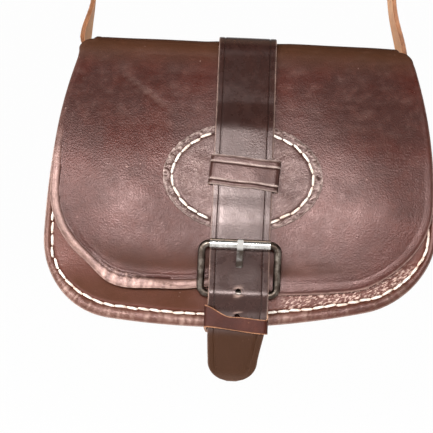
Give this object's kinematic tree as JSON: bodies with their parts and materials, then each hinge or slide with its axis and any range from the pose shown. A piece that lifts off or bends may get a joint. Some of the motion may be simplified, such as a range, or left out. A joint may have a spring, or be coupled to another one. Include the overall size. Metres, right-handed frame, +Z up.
{
  "type": "leather saddle bag",
  "caption": "Leather saddle bag with a rounded flap, an oval patch, a roller-buckle closure strap and a shoulder strap, shown hanging from the strap.",
  "frame": {"origin": "under the top of the shoulder strap, at its middle, where a hook or a shoulder carries the bag", "axes": "+Z up, the front of the bag faces -Y, +X to the right seen from the front"},
  "size_m": [0.266, 0.0869, 0.6713],
  "materials": {
    "hide": "oiled, worn, semi-gloss",
    "dark_hide": "dark, polished",
    "red_hide": "red-brown, semi-gloss",
    "tan_hide": "bare flesh side, matt",
    "thread": "waxed",
    "dark_steel": "antique, dark",
    "worn_steel": "worn bright"
  },
  "bodies": {
    "bag": {"back_panel": "hide", "front_panel": "hide", "gusset": "dark_hide", "front_seam_thread": "thread", "back_seam_thread": "thread", "shoulder_strap": "tan_hide", "strap_end_thread": "thread", "chape": "red_hide", "chape_thread": "thread", "lower_keeper": "red_hide"},
    "crown": {"flap_crown": "hide", "closure_strap_root": "dark_hide", "closure_root_thread": "thread"},
    "flap": {"flap_front": "hide", "oval_patch": "hide", "patch_thread": "thread", "patch_keeper": "hide", "closure_strap": "dark_hide"},
    "buckle_frame": {"buckle_frame": "dark_steel"},
    "buckle_roller": {"buckle_roller": "worn_steel"},
    "buckle_prong": {"buckle_prong": "worn_steel"}
  },
  "joints": [
    {"name": "crown_lift", "type": "hinge", "parent": "bag", "child": "crown", "pos_m": [0, 0.024, -0.45703], "axis": [-1, 0, 0], "range_deg": [0, 30]},
    {"name": "flap_fold", "type": "hinge", "parent": "crown", "child": "flap", "pos_m": [0, -0.02429, -0.45143], "axis": [-1, 0, 0], "range_deg": [0, 90], "deforming": ["flap_front", "closure_strap"]},
    {"name": "frame_swing", "type": "hinge", "parent": "bag", "child": "buckle_frame", "pos_m": [0, -0.04999, -0.61093], "axis": [1, 0, 0], "range_deg": [0, 75]},
    {"name": "prong_swing", "type": "hinge", "parent": "buckle_frame", "child": "buckle_prong", "pos_m": [0, -0.04999, -0.61093], "axis": [1, 0, 0], "range_deg": [0, 45]},
    {"name": "roller_spin", "type": "hinge", "parent": "buckle_frame", "child": "buckle_roller", "pos_m": [0, -0.05154, -0.57743], "axis": [1, 0, 0], "continuous": true}
  ],
  "couplings": [
    {"joint": "flap_fold", "follows": "crown_lift", "ratio": 3},
    {"joint": "frame_swing", "follows": "crown_lift", "ratio": 2.5},
    {"joint": "prong_swing", "follows": "crown_lift", "ratio": 1.5}
  ]
}
